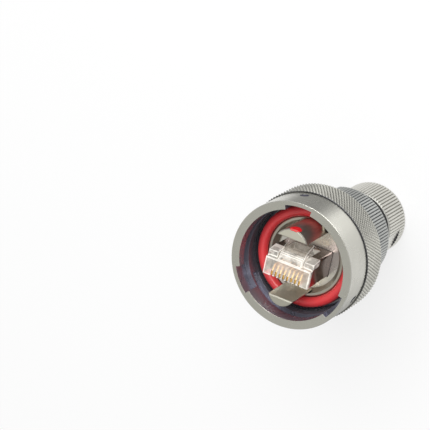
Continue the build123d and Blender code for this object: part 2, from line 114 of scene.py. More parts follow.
class Graph:
    """Node tree with short calls for adding and joining nodes."""

    def __init__(self, tree: bpy.types.NodeTree) -> None:
        """Keeps the tree that the calls work on."""
        self.tree = tree

    def add(self, kind: str, feeds: dict | None = None, **settings: object) -> Node:
        """Adds a node.

        Args:
            kind: Blender's name of the node type.
            feeds: value or source socket for each input, by name or number.
            settings: the node's own properties.

        Returns:
            The new node.
        """
        node = self.tree.nodes.new(kind)
        for name, setting in settings.items():
            setattr(node, name, setting)
        self.feed(node, feeds or {})
        return node

    def feed(self, node: Node, feeds: dict) -> None:
        """Sets inputs of a node, or joins them to their sources.

        Args:
            node: the node.
            feeds: value or source socket for each input, by name or number.
        """
        for key, source in feeds.items():
            if isinstance(source, Socket):
                self.tree.links.new(source, node.inputs[key])
            else:
                node.inputs[key].default_value = source

    def effect(self, effect: Effect, **feeds: object) -> Node:
        """Adds a shared effect.

        Args:
            effect: which effect.
            feeds: its inputs by name, with _ for a space.

        Returns:
            The group's node.
        """
        node = self.add("ShaderNodeGroup", node_tree=bpy.data.node_groups[effect.value])
        self.feed(node, {name.replace("_", " "): source for name, source in feeds.items()})
        return node

    def maths(self, operation: str, *terms: object, clamp: bool = False) -> Socket:
        """Result of one sum on values or sockets."""
        settings = {"operation": operation, "use_clamp": clamp}
        return self.add("ShaderNodeMath", dict(enumerate(terms)), **settings).outputs[0]

    def product(self, first: object, second: object, clamp: bool = False) -> Socket:
        """Product of two values or sockets."""
        return self.maths("MULTIPLY", first, second, clamp=clamp)

    def blend(self, factor: object, first: object, second: object) -> Socket:
        """Colour between two colours, which are the mix node's inputs 6 and 7."""
        feeds = {0: factor, 6: first, 7: second}
        return self.add("ShaderNodeMix", feeds, data_type="RGBA").outputs[2]

    def between(self, factor: object, first: object, second: object) -> Socket:
        """Value between two values, which are the mix node's inputs 2 and 3."""
        feeds = {0: factor, 2: first, 3: second}
        return self.add("ShaderNodeMix", feeds, data_type="FLOAT").outputs[0]

    def ramp(self, value: object, low: object, high: object) -> Socket:
        """Value eased from 0 at low to 1 at high."""
        feeds = {"Value": value, "From Min": low, "From Max": high}
        return self.add("ShaderNodeMapRange", feeds, interpolation_type="SMOOTHSTEP").outputs[0]

    def place(self) -> Socket:
        """Place on the piece, in metres."""
        return self.add("ShaderNodeTexCoord").outputs["Object"]

    def noise(self, place: object, scale: object, detail: float) -> Socket:
        """Cloudy value from 0 to 1 at a place."""
        feeds = {"Vector": place, "Scale": scale, "Detail": detail}
        return self.add("ShaderNodeTexNoise", feeds).outputs[0]

    def dot(self, first: object, second: object) -> Socket:
        """Dot product of two vectors."""
        feeds = {0: first, 1: second}
        return self.add("ShaderNodeVectorMath", feeds, operation="DOT_PRODUCT").outputs["Value"]

    def relief(self, height: object, depth: float, **feeds: object) -> Socket:
        """Normal of a fine relief."""
        feeds.update(Height=height, Distance=depth)
        return self.add("ShaderNodeBump", feeds).outputs[0]

    def axis_place(self) -> tuple[Socket, Socket]:
        """Place on a turned piece.

        Returns:
            Distance from the connector's axis, and height.
        """
        x, y, height = self.add("ShaderNodeSeparateXYZ", {0: self.place()}).outputs
        squares = [self.maths("POWER", part, 2.0) for part in (x, y)]
        return self.maths("SQRT", self.maths("ADD", *squares)), height


class Effects:
    """Shader node groups of the shared effects."""

    edge_lean: Span = (0.01, 0.12)
    edge_breaks: Span = (0.35, 0.62)
    cloud_rims: Span = (0.3, 0.7)
    cavity_shade: Span = (0.10, 0.50)

    def build(self) -> None:
        """Builds every group once."""
        self._worn_edges()
        self._clouds()
        self._lathe_marks()
        self._cavities()

    @staticmethod
    def _open_group(effect: Effect, inputs: dict[str, float],
                    outputs: dict[str, str]) -> tuple[Graph, Node, Node]:
        """Starts a group with named sockets.

        Args:
            effect: names the group.
            inputs: default of each input value.
            outputs: socket type of each output.

        Returns:
            The graph, the group's input node and its output node.
        """
        tree = bpy.data.node_groups.new(effect.value, "ShaderNodeTree")
        for name, default in inputs.items():
            socket = tree.interface.new_socket(name, in_out="INPUT", socket_type="NodeSocketFloat")
            socket.default_value = default
        for name, kind in outputs.items():
            tree.interface.new_socket(name, in_out="OUTPUT", socket_type=kind)
        graph = Graph(tree)
        return graph, graph.add("NodeGroupInput"), graph.add("NodeGroupOutput")

    def _worn_edges(self) -> None:
        """Broken mask along sharp edges, and the rounded normal there."""
        graph, given, result = self._open_group(
            Effect.WORN_EDGES, {"Width": 0.1 * MM, "Breakup": 900.0, "Amount": 0.5},
            {"Mask": "NodeSocketFloat", "Normal": "NodeSocketVector"})
        bevel = graph.add("ShaderNodeBevel", {"Radius": given.outputs["Width"]}, samples=4)
        rounded = bevel.outputs[0]
        plain = graph.add("ShaderNodeNewGeometry").outputs["Normal"]
        lean = graph.maths("SUBTRACT", 1.0, graph.dot(rounded, plain))
        edge = graph.ramp(lean, *self.edge_lean)
        specks = graph.noise(graph.place(), given.outputs["Breakup"], detail=3.0)
        broken = graph.ramp(specks, *self.edge_breaks)
        mask = graph.product(edge, graph.product(broken, given.outputs["Amount"]), clamp=True)
        graph.feed(result, {"Mask": mask, "Normal": rounded})

    def _clouds(self) -> None:
        """Soft clouds and fine grain, as left by plating, handling and moulding."""
        graph, given, result = self._open_group(
            Effect.CLOUDS, {"Cloud Scale": 160.0, "Grain Scale": 5000.0},
            {"Clouds": "NodeSocketFloat", "Grain": "NodeSocketFloat"})
        place = graph.place()
        clouds = graph.noise(place, given.outputs["Cloud Scale"], detail=4.0)
        grain = graph.noise(place, given.outputs["Grain Scale"], detail=2.0)
        graph.feed(result, {"Clouds": graph.ramp(clouds, *self.cloud_rims), "Grain": grain})

    def _lathe_marks(self) -> None:
        """Height of the fine rings that a lathe tool leaves round the axis."""
        graph, given, result = self._open_group(
            Effect.LATHE_MARKS, {"Scale": 9000.0}, {"Height": "NodeSocketFloat"})
        radius, height = graph.axis_place()
        rings = graph.add("ShaderNodeCombineXYZ", {0: radius, 1: height}).outputs[0]
        graph.feed(result, {"Height": graph.noise(rings, given.outputs["Scale"], detail=1.0)})

    def _cavities(self) -> None:
        """Mask of grooves and inner corners, from ambient occlusion, where the finishes paint shade
        into the colour.
        """
        graph, given, result = self._open_group(
            Effect.CAVITIES, {"Distance": 0.4 * MM, "Amount": 1.0}, {"Mask": "NodeSocketFloat"})
        reach = graph.add("ShaderNodeAmbientOcclusion", {"Distance": given.outputs["Distance"]},
                          samples=6, only_local=True)
        hidden = graph.maths("SUBTRACT", 1.0, reach.outputs["AO"])
        mask = graph.ramp(hidden, *self.cavity_shade)
        graph.feed(result, {"Mask": graph.product(mask, given.outputs["Amount"], clamp=True)})


def new_material(name: str) -> tuple[Material, Graph, Node]:
    """Starts a material.

    Args:
        name: the finish's name.

    Returns:
        The material, its graph and its Principled node.
    """
    material = bpy.data.materials.new(name)
    material.use_nodes = True
    return material, Graph(material.node_tree), material.node_tree.nodes["Principled BSDF"]


@dataclass(frozen=True)
class Zone:
    """Part of a turned piece, by distance from the axis and height, that gets its own painted shade
    or light.
    """

    radius: float
    low: float
    high: float
    ledges_only: bool = False
    blur: float = 0.03 * MM
    ledge_slope: Span = (0.5, 0.9)

    def mask(self, graph: Graph) -> Socket:
        """Mask of the zone.

        Args:
            graph: the material's nodes.

        Returns:
            A value of 1 in the zone and 0 outside it.
        """
        radius, height = graph.axis_place()
        inside = graph.ramp(radius, self.radius + self.blur, self.radius - self.blur)
        above = graph.ramp(height, self.low - self.blur, self.low + self.blur)
        below = graph.ramp(height, self.high + self.blur, self.high - self.blur)
        mask = graph.product(inside, graph.product(above, below))
        if self.ledges_only:
            normal = graph.add("ShaderNodeNewGeometry").outputs["True Normal"]
            upward = graph.add("ShaderNodeSeparateXYZ", {0: normal}).outputs[2]
            mask = graph.product(mask, graph.ramp(upward, *self.ledge_slope))
        return mask


Zones = tuple[tuple[Zone, Colour], ...]


@dataclass(frozen=True)
class PlatedMetal:
    """Turned metal with a plated skin: clouds of tone, lathe rings, rubbed edges, painted shade in
    grooves and zones of painted shade or light.
    """

    name: str
    colour: Colour
    stain: Colour
    rubbed: Colour
    roughness: float
    metallic: float = 1.0
    # Colour of the painted shade in grooves and inner corners.
    groove_shade_colour: Colour = (0.1, 0.1, 0.09, 1.0)
    groove_reach: float = 0.4 * MM
    painted_light_zones: Zones = ()
    zone_metallic: float = 0.6
    edge_width: float = 0.10 * MM
    wear: float = 0.5
    mark_depth: float = 0.0015 * MM
    grain_share: float = 0.6
    stain_roughness: float = 1.25

    def make(self) -> Material:
        """Builds the material.

        Returns:
            The finished material.
        """
        material, graph, shader = new_material(self.name)
        skin = graph.effect(Effect.CLOUDS)
        clouds = skin.outputs["Clouds"]
        edges = graph.effect(Effect.WORN_EDGES, Width=self.edge_width, Amount=self.wear)
        grooves = graph.effect(Effect.CAVITIES, Distance=self.groove_reach)
        rings = graph.effect(Effect.LATHE_MARKS)
        tone = graph.blend(clouds, self.colour, self.stain)
        # Painted shade: grooves and inner corners darkened by the occlusion mask.
        tone = graph.blend(grooves.outputs["Mask"], tone, self.groove_shade_colour)
        tone = graph.blend(edges.outputs["Mask"], tone, self.rubbed)
        metallic = self.metallic
        # Each zone paints shade or light into the colour and the metalness.
        for zone, colour in self.painted_light_zones:
            mask = zone.mask(graph)
            tone = graph.blend(mask, tone, colour)
            metallic = graph.between(mask, metallic, self.zone_metallic)
        dull = self.roughness * self.stain_roughness
        grain = graph.product(skin.outputs["Grain"], self.grain_share)
        marks = graph.maths("ADD", rings.outputs["Height"], grain)
        graph.feed(shader, {
            "Base Color": tone,
            "Metallic": metallic,
            "Roughness": graph.between(clouds, self.roughness, dull),
            "Normal": graph.relief(marks, self.mark_depth, Normal=edges.outputs["Normal"])})
        return material


@dataclass(frozen=True)
class Rubber:
    """Moulded rubber with a soft gloss, faint clouds and a fine skin."""

    name: str
    colour: Colour
    dusty: Colour
    roughness: float
    coat: float
    coat_roughness: float = 0.12
    cloud_scale: float = 220.0
    grain_scale: float = 3500.0
    skin_depth: float = 0.002 * MM
    dust_roughness: float = 1.3

    def make(self) -> Material:
        """Builds the material.

        Returns:
            The finished material.
        """
        material, graph, shader = new_material(self.name)
        skin = graph.effect(Effect.CLOUDS, Cloud_Scale=self.cloud_scale,
                            Grain_Scale=self.grain_scale)
        clouds = skin.outputs["Clouds"]
        dull = self.roughness * self.dust_roughness
        graph.feed(shader, {
            "Base Color": graph.blend(clouds, self.colour, self.dusty),
            "Roughness": graph.between(clouds, self.roughness, dull),
            "Coat Weight": self.coat,
            "Coat Roughness": self.coat_roughness,
            "Normal": graph.relief(skin.outputs["Grain"], self.skin_depth)})
        return material


@dataclass(frozen=True)
class ClearPlastic:
    """Clear moulded plastic with a light haze, a painted glow with painted glints, painted amber
    shade in the blade mouths and a painted darker reflection on the thin latch.

    The thin latch, the stepped shoulders and the mouths each set in over a span of Y.
    """

    name: str
    colour: Colour
    haze: Colour
    cover: float
    thin_cover: float
    painted_glow: float
    painted_glow_floor: float
    roughness: float = 0.05
    haze_roughness: float = 1.8
    ior: float = 1.58
    inner_share: float = 0.25
    cloud_scale: float = 300.0
    wave_depth: float = 0.01 * MM
    thin_above: Span = (2.8 * MM, 3.0 * MM)
    thin_reflection_colour: Colour = (0.32, 0.27, 0.21, 1.0)
    steps_above: Span = (0.7 * MM, 1.1 * MM)
    mouths_below: Span = (-1.9 * MM, -2.15 * MM)
    mouth_shade_colour: Colour = (0.20, 0.10, 0.035, 1.0)
    mouth_reach: float = 0.5 * MM
    mouth_shade_cover: float = 0.9
    flow_scale: float = 650.0
    soft_gleams: Span = (0.35, 0.80)
    sharp_gleams: Span = (0.44, 0.54)
    gleam_tint: Point = (1.0, 0.95, 0.87)
    floor_tint: Point = (1.0, 0.95, 0.88)
    gleam_cover: float = 0.15
    rim_blend: float = 0.35
    rim_cover: float = 0.3

    def make(self) -> Material:
        """Builds the material.

        Returns:
            The finished material.
        """
        material, graph, shader = new_material(self.name)
        clouds = graph.effect(Effect.CLOUDS, Cloud_Scale=self.cloud_scale).outputs["Clouds"]
        hollows = graph.effect(Effect.CAVITIES, Distance=self.mouth_reach)
        along = graph.add("ShaderNodeSeparateXYZ", {0: graph.place()}).outputs[1]
        thin = graph.ramp(along, *self.thin_above)
        # Painted shade, tinted like a painted gold reflection, in the blade mouths, from the
        # occlusion mask.
        mouths = graph.product(hollows.outputs["Mask"], graph.ramp(along, *self.mouths_below))
        # Painted light: glow streaks from noise, shown through Emission though the plastic is no
        # lamp.
        painted_glints = self._painted_glints(graph, graph.ramp(along, *self.steps_above))
        plain = graph.maths("SUBTRACT", 1.0, graph.maths("MAXIMUM", thin, mouths))
        painted_glints = graph.product(painted_glints, plain)
        tone = graph.blend(clouds, self.colour, self.haze)
        # Painted reflection: the thin latch is tinted brown, as if it mirrored the dark finger
        # above.
        tone = graph.blend(thin, tone, self.thin_reflection_colour)
        dull = self.roughness * self.haze_roughness
        # Painted glow on every face, at the glow floor's level.
        floor = tuple(self.painted_glow_floor * part for part in self.floor_tint)
        glow = graph.blend(painted_glints, (*floor, 1), (*self.gleam_tint, 1))
        graph.feed(shader, {
            "Base Color": graph.blend(mouths, tone, self.mouth_shade_colour),
            "Roughness": graph.between(clouds, self.roughness, dull),
            "IOR": self.ior,
            "Emission Color": graph.blend(mouths, glow, BLACK),
            "Emission Strength": self.painted_glow,
            "Alpha": self._alpha(graph, thin, mouths, painted_glints),
            "Normal": graph.relief(clouds, self.wave_depth)})
        return material

    def _painted_glints(self, graph: Graph, stepped: Socket) -> Socket:
        """Streaks of painted glow and glint.

        Args:
            graph: the material's nodes.
            stepped: mask of the stepped shoulders, where the streaks are sharp.

        Returns:
            Mask of the streaks.
        """
        flow = graph.noise(graph.place(), self.flow_scale, detail=2.0)
        soft, sharp = (graph.ramp(flow, *span) for span in (self.soft_gleams, self.sharp_gleams))
        return graph.between(stepped, soft, sharp)

    def _alpha(self, graph: Graph, thin: Socket, mouths: Socket, painted_glints: Socket) -> Socket:
        """How far each place hides what lies behind it.

        Args:
            graph: the material's nodes.
            thin: mask of the thin latch.
            mouths: mask of the blade mouths.
            painted_glints: mask of the painted glints.

        Returns:
            A value from 0 to 1.
        """
        rim = graph.add("ShaderNodeLayerWeight", {"Blend": self.rim_blend}).outputs["Facing"]
        cover = graph.between(thin, self.cover, self.thin_cover)
        cover = graph.maths("ADD", cover, graph.product(rim, self.rim_cover))
        cover = graph.maths("ADD", cover, graph.product(painted_glints, self.gleam_cover))
        inside = graph.add("ShaderNodeNewGeometry").outputs["Backfacing"]
        cover = graph.product(cover, graph.between(inside, 1.0, self.inner_share))
        return graph.maths("MAXIMUM", cover, graph.product(mouths, self.mouth_shade_cover), clamp=True)


class Finishes:
    """All finishes of the connector, made once."""

    def __init__(self) -> None:
        """Makes each material."""
        ring_zones, nut_zones, shell_zones = self._zones()
        self.ring = PlatedMetal(
            "ring_plating", colour=(0.72, 0.71, 0.645, 1), stain=(0.66, 0.65, 0.585, 1),
            rubbed=(0.84, 0.83, 0.77, 1), groove_shade_colour=(0.22, 0.22, 0.20, 1), roughness=0.24,
            metallic=0.95, painted_light_zones=ring_zones).make()
        self.nut = PlatedMetal(
            "nut_plating", colour=(0.76, 0.75, 0.69, 1), stain=(0.70, 0.69, 0.63, 1),
            rubbed=(0.88, 0.87, 0.81, 1), groove_shade_colour=(0.42, 0.41, 0.38, 1), roughness=0.26,
            metallic=0.95, groove_reach=0.3 * MM, painted_light_zones=nut_zones).make()
        self.shell = PlatedMetal(
            "shell_plating", colour=(0.66, 0.64, 0.54, 1), stain=(0.59, 0.57, 0.48, 1),
            rubbed=(0.70, 0.68, 0.58, 1), roughness=0.28, metallic=0.9, wear=0.2,
            painted_light_zones=shell_zones, zone_metallic=0.3).make()
        self.backshell = PlatedMetal(
            "backshell_plating", colour=(0.53, 0.54, 0.52, 1), stain=(0.47, 0.48, 0.46, 1),
            rubbed=(0.66, 0.66, 0.63, 1), groove_shade_colour=(0.25, 0.26, 0.265, 1), roughness=0.30,
            metallic=0.95, groove_reach=0.3 * MM).make()
        self.nickel = PlatedMetal(
            "bright_nickel", colour=(0.90, 0.87, 0.80, 1), stain=(0.82, 0.79, 0.72, 1),
            rubbed=(0.92, 0.90, 0.85, 1), roughness=0.24, metallic=0.85, wear=0.2).make()
        self.spring = PlatedMetal(
            "spring_steel", colour=(0.62, 0.61, 0.59, 1), stain=(0.54, 0.53, 0.51, 1),
            rubbed=(0.75, 0.74, 0.72, 1), roughness=0.2).make()
        # Painted reflection and shade: the bright tinned sheet is coloured dark plum, as if
        # mirroring the red seal and dark surroundings.
        self.shield = PlatedMetal(
            "tinned_sheet_painted_reflection", colour=(0.31, 0.245, 0.235, 1), stain=(0.24, 0.185, 0.18, 1),
            rubbed=(0.6, 0.52, 0.42, 1), roughness=0.16, wear=0.2,
            edge_width=0.05 * MM).make()
        self.gold = PlatedMetal(
            "gold_plating", colour=(1.0, 0.62, 0.13, 1), stain=(0.98, 0.52, 0.09, 1),
            rubbed=(1.0, 0.82, 0.42, 1), groove_shade_colour=(0.30, 0.12, 0.02, 1), roughness=0.3,
            metallic=0.7, wear=0.3, edge_width=0.12 * MM).make()
        self.red = Rubber(
            "red_silicone", colour=(0.86, 0.056, 0.062, 1), dusty=(0.78, 0.055, 0.064, 1),
            roughness=0.28, coat=0.45).make()
        self.paint = Rubber(
            "red_paint", colour=(0.88, 0.012, 0.018, 1), dusty=(0.80, 0.012, 0.018, 1),
            roughness=0.4, coat=0.1).make()
        self.black = Rubber(
            "black_rubber", colour=(0.020, 0.020, 0.022, 1), dusty=(0.035, 0.034, 0.034, 1),
            roughness=0.5, coat=0.05).make()
        self.nylon = Rubber(
            "black_nylon", colour=(0.03, 0.03, 0.032, 1), dusty=(0.04, 0.04, 0.04, 1),
            roughness=0.45, coat=0.0).make()
        # Painted glow and glints in the clear plastic, through Emission.
        self.clear = ClearPlastic(
            "clear_polycarbonate", colour=(0.90, 0.86, 0.79, 1), haze=(0.80, 0.75, 0.67, 1),
            cover=0.30, thin_cover=0.40, painted_glow=0.3, painted_glow_floor=0.1).make()
        # Painted highlights: the bevelled edges are paler, more opaque and glow.
        self.painted_edge_highlights = ClearPlastic(
            "painted_edge_highlights", colour=(0.96, 0.93, 0.87, 1), haze=(0.88, 0.84, 0.77, 1),
            cover=0.70, thin_cover=0.60, thin_reflection_colour=(0.8, 0.76, 0.70, 1), painted_glow=0.26,
            painted_glow_floor=0.7).make()

    @staticmethod
    def _zones() -> tuple[Zones, Zones, Zones]:
        """Places where shade or light is painted into the colour: shade in the ring's bore, in the
        groove between band and grip, on the nut's front ledge, on the ends of its flat and on the
        finger chamfers; light on the up-facing finger ends.

        Returns:
            Zones of the coupling ring, the gland nut and the plug shell, with their colours.
        """
        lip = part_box("coupling_ring")[1][2]
        step = lip - CouplingRing.band
        nut_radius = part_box("gland_nut")[1][0]
        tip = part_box("plug_shell")[1][2]
        # Painted shade in the bore, the grip groove, the nut's ledges and the finger chamfers;
        # painted light on the up-facing finger ends.
        bore = Zone(15.2 * MM, low=34.85 * MM, high=lip - 0.09 * MM)
        groove = Zone(16.0 * MM, low=step - 0.12 * MM, high=step + 0.18 * MM)
        front = Zone(nut_radius - 0.36 * MM, low=10.15 * MM, high=10.25 * MM, ledges_only=True)
        flat_ends = Zone(nut_radius, low=3.5 * MM, high=3.7 * MM, ledges_only=True)
        chamfers = Zone(12.0 * MM, low=tip - 0.26 * MM, high=tip - 0.03 * MM)
        fingertips = Zone(12.0 * MM, low=tip - 0.01 * MM, high=tip + 0.1 * MM, ledges_only=True)
        return (((bore, (0.23, 0.23, 0.28, 1)), (groove, (0.13, 0.13, 0.135, 1))),
                ((front, (0.12, 0.12, 0.125, 1)), (flat_ends, (0.05, 0.05, 0.055, 1))),
                ((chamfers, (0.28, 0.27, 0.23, 1)), (fingertips, (0.58, 0.555, 0.455, 1))))

    def by_node(self) -> dict[str, Material]:
        """Finish of each CAD node."""
        return {
            "gland_nut": self.nut, "backshell": self.backshell, "plug_shell": self.shell,
            "coupling_ring": self.ring, "face_seal": self.red, "modular_plug": self.clear,
            "plug_contacts": self.gold, "plug_shield": self.shield,
            **dict.fromkeys(("cable_seal", "backshell_o_ring"), self.black),
            **dict.fromkeys(("cradle_upper", "cradle_lower"), self.nylon),
            **dict.fromkeys(("retaining_clip", "slide_washer", "wave_washer"), self.spring),
            **dict.fromkeys(("thrust_washer", "braid_cone", "braid_ring", "clamp_ring",
                             "insert_plate"), self.nickel),
        }


def plain_mesh(name: str, shape: Shape) -> Mesh:
    """Turns a bmesh into a mesh as it is.

    Args:
        name: the mesh's name.
        shape: the bmesh, which is freed.

    Returns:
        The mesh.
    """
    mesh = bpy.data.meshes.new(name)
    shape.to_mesh(mesh)
    shape.free()
    return mesh


def mesh_from(name: str, shape: Shape, sharp: float = SHARP) -> Mesh:
    """Turns a bmesh into a smooth mesh.

    Args:
        name: the mesh's name.
        shape: the bmesh, which is freed.
        sharp: least angle of an edge that stays sharp.

    Returns:
        The mesh.
    """
    bmesh.ops.recalc_face_normals(shape, faces=shape.faces)
    for face in shape.faces:
        face.smooth = True
    for edge in shape.edges:
        edge.smooth = len(edge.link_faces) == 2 and edge.calc_face_angle() < sharp
    return plain_mesh(name, shape)


def new_piece(name: str, shape: Shape, finish: Material, body: Body,
              stands_for: str = "", sharp: float = SHARP,
              edge_finish: Material | None = None) -> bpy.types.Object:
    """Puts a shape into the scene as a piece of the connector.

    Args:
        name: the piece's name.
        shape: its bmesh, in the frame's coordinates.
        finish: its material.
        body: what it moves with.
        stands_for: CAD node that it replaces, if any.
        sharp: least angle of an edge that stays sharp.
        edge_finish: material of its bevelled edges, where they have one of their own.

    Returns:
        The new object.
    """
    mesh = mesh_from(name, shape, sharp)
    mesh.materials.append(finish)
    if edge_finish:
        mesh.materials.append(edge_finish)
    piece = bpy.data.objects.new(name, mesh)
    bpy.context.collection.objects.link(piece)
    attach(piece, body.value)
    if stands_for:
        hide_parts(stands_for)
    log.info("%s: %d faces, rides on %s", name, len(mesh.polygons), body.value)
    return piece


def round_point(radius: float, angle: float, height: float) -> Point:
    """Point at a distance and an angle round the connector's axis."""
    return radius * math.cos(angle), radius * math.sin(angle), height


def join_loops(shape: Shape, one: list[Vertex], two: list[Vertex]) -> None:
    """Closes the strip between two loops that run side by side.

    Args:
        shape: what the faces go into.
        one: vertices of the first loop.
        two: as many vertices of the second loop.
    """
    for step in range(len(one)):
        after = (step + 1) % len(one)
        shape.faces.new((one[step], two[step], two[after], one[after]))


def turned(profile: list[Span], around: int) -> Shape:
    """Closed profile of (radius, height) corners, turned about the connector's axis.

    Args:
        profile: the corners, in order.
        around: number of steps round the axis.

    Returns:
        The turned shape.
    """
    shape = bmesh.new()
    loops = []
    for turn in range(around):
        angle = turn * math.tau / around
        loops.append([shape.verts.new(round_point(r, angle, z)) for r, z in profile])
    for turn in range(around):
        join_loops(shape, loops[turn], loops[(turn + 1) % around])
    return shape


def carved(node: str, steps: list[tuple[str, Mesh]], bevel: float = 0.0,
           crease: float = math.radians(30), sharp_cuts: tuple[Mesh, ...] = ()) -> Shape:
    """Shape of a CAD node with meshes joined to it or cut out of it.

    Args:
        node: the CAD node, which stays as it is.
        steps: UNION or DIFFERENCE, with the mesh, in order.
        bevel: width of the bevel on the sharp edges, if any.
        crease: least angle of an edge that gets the bevel.
        sharp_cuts: meshes that are cut out after the bevel.

    Returns:
        The finished shape.
    """
    solid = bmesh.new()
    solid.from_mesh(frame["nodes"][node].data)
    bmesh.ops.remove_doubles(solid, verts=solid.verts, dist=WELD)
    mesh = plain_mesh(node + "_copy", solid)
    for _ in range(EDGE_SLOT + 1):
        mesh.materials.append(None)
    helpers = [bpy.data.objects.new(mesh.name, mesh)]
    bpy.context.collection.objects.link(helpers[0])

    def cut_or_join(operation: str, tool: Mesh) -> None:
        """Adds one Boolean step.

        Args:
            operation: UNION or DIFFERENCE.
            tool: the mesh that is joined or cut out.
        """
        helper = bpy.data.objects.new(tool.name, tool)
        bpy.context.collection.objects.link(helper)
        helpers.append(helper)
        step = helpers[0].modifiers.new(tool.name, "BOOLEAN")
        step.operation = operation
        step.solver = "MANIFOLD"
        step.object = helper

    for operation, tool in steps:
        cut_or_join(operation, tool)
    if bevel:
        edges = helpers[0].modifiers.new("edges", "BEVEL")
        edges.width = bevel
        edges.segments = 2
        edges.material = EDGE_SLOT
        edges.use_clamp_overlap = False
        edges.limit_method = "ANGLE"
        edges.angle_limit = crease
    for tool in sharp_cuts:
        cut_or_join("DIFFERENCE", tool)
    bpy.context.view_layer.update()
    evaluated = helpers[0].evaluated_get(bpy.context.evaluated_depsgraph_get())
    shape = bmesh.new()
    shape.from_mesh(evaluated.to_mesh())
    evaluated.to_mesh_clear()
    for helper in helpers:
        bpy.data.objects.remove(helper)
    return shape


@dataclass
class CouplingRing:
    """Coupling ring with a fine diamond grip cut round its wide part."""

    finishes: Finishes
    pitch_count: int = 125
    rear_edge: float = 0.6 * MM
    taper: Span = (0.2 * MM, 0.3 * MM)
    blank_wall: float = 1.4 * MM
    blank_gap: float = 0.01 * MM
    groove_angle: float = math.radians(30)
    crest_gap: float = 0.02 * MM
    depth: float = 0.30 * MM
    flat_share: float = 0.20
    spare_rows: int = 2
    band: float = 8.6 * MM
    cutter_wall: float = 1.0 * MM
    relief_in: float = 15.06 * MM
    relief_out: float = 15.46 * MM
    relief_height: float = 0.36 * MM
    sharp: float = math.radians(18)

    def _cutter(self, low: float, high: float, outer: float) -> Mesh:
        """Closed sleeve whose inside is the diamond grip.

        Args:
            low: height of the grip's lower end.
            high: height of its upper end.
            outer: the ring's radius.

        Returns:
            The sleeve's mesh.
        """
        columns = 2 * self.pitch_count
        half_pitch = math.tau / columns
        row_height = outer * half_pitch / math.tan(self.groove_angle)
        rows = math.ceil((high - low) / row_height) + 2 * self.spare_rows
        first = low - self.spare_rows * row_height
        crest = outer - self.crest_gap
        root = outer - self.depth
        around = ((1, 0), (0, 1), (-1, 0), (0, -1))
        shape = bmesh.new()

        def corner(column: float, row: float, radius: float) -> Vertex:
            """Vertex of the grip at a place of its grid."""
            place = round_point(radius, column * half_pitch, first + row * row_height)
            return shape.verts.new(place)

        roots = {(i, k): corner(i, k, root)
                 for k in range(rows + 1) for i in range(columns) if (i + k) % 2}
        for k in range(1, rows):
            for i in range(k % 2, columns, 2):
                valley = [roots[((i + di) % columns, k + dk)] for di, dk in around]
                top = [corner(i + di * self.flat_share, k + dk * self.flat_share, crest)
                       for di, dk in around]
                shape.faces.new(top)
                join_loops(shape, valley, top)
        ends = []
        for row, inner_row in ((0, 1), (rows, rows - 1)):
            zigzag = [roots.get((i, row)) or roots[(i, inner_row)] for i in range(columns)]
            ends.append([corner(i, row, outer + self.cutter_wall) for i in range(columns)])
            join_loops(shape, zigzag, ends[-1])
        join_loops(shape, *ends)
        bmesh.ops.recalc_face_normals(shape, faces=shape.faces)
        return plain_mesh("grip_cutter", shape)

    def _blank(self, low: float, high: float, outer: float) -> Mesh:
        """Plain sleeve, with the grip's chamfers, that covers the coarser grip of the solid.

        Args:
            low: height of the grip's lower end.
            high: height of its upper end.
            outer: the ring's radius.

        Returns:
            The sleeve's mesh.
        """
        low += self.blank_gap
        high -= self.blank_gap
        inner = outer - self.blank_wall
        profile = [(inner, low), (outer - self.rear_edge + self.blank_gap, low),
                   (outer, low + self.rear_edge), (outer, high - self.taper[0]),
                   (outer - self.taper[1], high), (inner, high)]
        return mesh_from("grip_blank", turned(profile, 2 * self.pitch_count))

    def _relief(self, step: float) -> Mesh:
        """Sleeve that cuts the narrow groove between the band and the grip.

        Args:
            step: height where the grip ends.

        Returns:
            The sleeve's mesh.
        """
        low, high = step - self.relief_height / 2, step + self.relief_height / 2
        profile = [(self.relief_in, low), (self.relief_out, low), (self.relief_out, high),
                   (self.relief_in, high)]
        return mesh_from("grip_relief", turned(profile, 2 * self.pitch_count))

    def build(self) -> None:
        """Cuts the grip into a copy of the ring and puts it in the ring's place."""
        lowest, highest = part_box("coupling_ring")
        low, high, outer = lowest[2], highest[2] - self.band, highest[0]
        shape = carved("coupling_ring", [("UNION", self._blank(low, high, outer)),
                                         ("DIFFERENCE", self._cutter(low, high, outer)),
                                         ("DIFFERENCE", self._relief(high))])
        new_piece("knurled_coupling_ring", shape, self.finishes.ring, Body.RING,
                  "coupling_ring", self.sharp)


@dataclass
class FaceSeal:
    """Red seal with the faint parting line of its mould."""

    finishes: Finishes
    around: int = 200
    section: int = 40
    line_height: float = 0.03 * MM
    sharp: float = math.radians(50)

    def build(self) -> None:
        """Builds the seal where its CAD solid lies."""
        lowest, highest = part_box("face_seal")
        radius = (highest[2] - lowest[2]) / 2
        middle = highest[0] - radius
        height = (highest[2] + lowest[2]) / 2
        profile = []
        for turn in range(self.section):
            lean = turn * math.tau / self.section
            raised = self.line_height if turn == self.section // 2 else 0.0
            profile.append((middle + (radius + raised) * math.cos(lean),
                            height + radius * math.sin(lean)))
        new_piece("red_face_seal", turned(profile, self.around), self.finishes.red, Body.SHELL,
                  "face_seal", self.sharp)


def add_prism(shape: Shape, outline: Outline, nose: float, sides: Span) -> None:
    """Adds a closed prism that lies across the plug.

    Args:
        shape: what the faces go into.
        outline: corners as (Y, depth behind the nose), in mm.
        nose: height of the plug's nose.
        sides: lowest and highest X, in mm.
    """
    ends = [[shape.verts.new((x * MM, y * MM, nose - depth * MM)) for y, depth in outline]
            for x in sides]
    shape.faces.new(ends[0])
    shape.faces.new(ends[1][::-1])
    join_loops(shape, *ends)


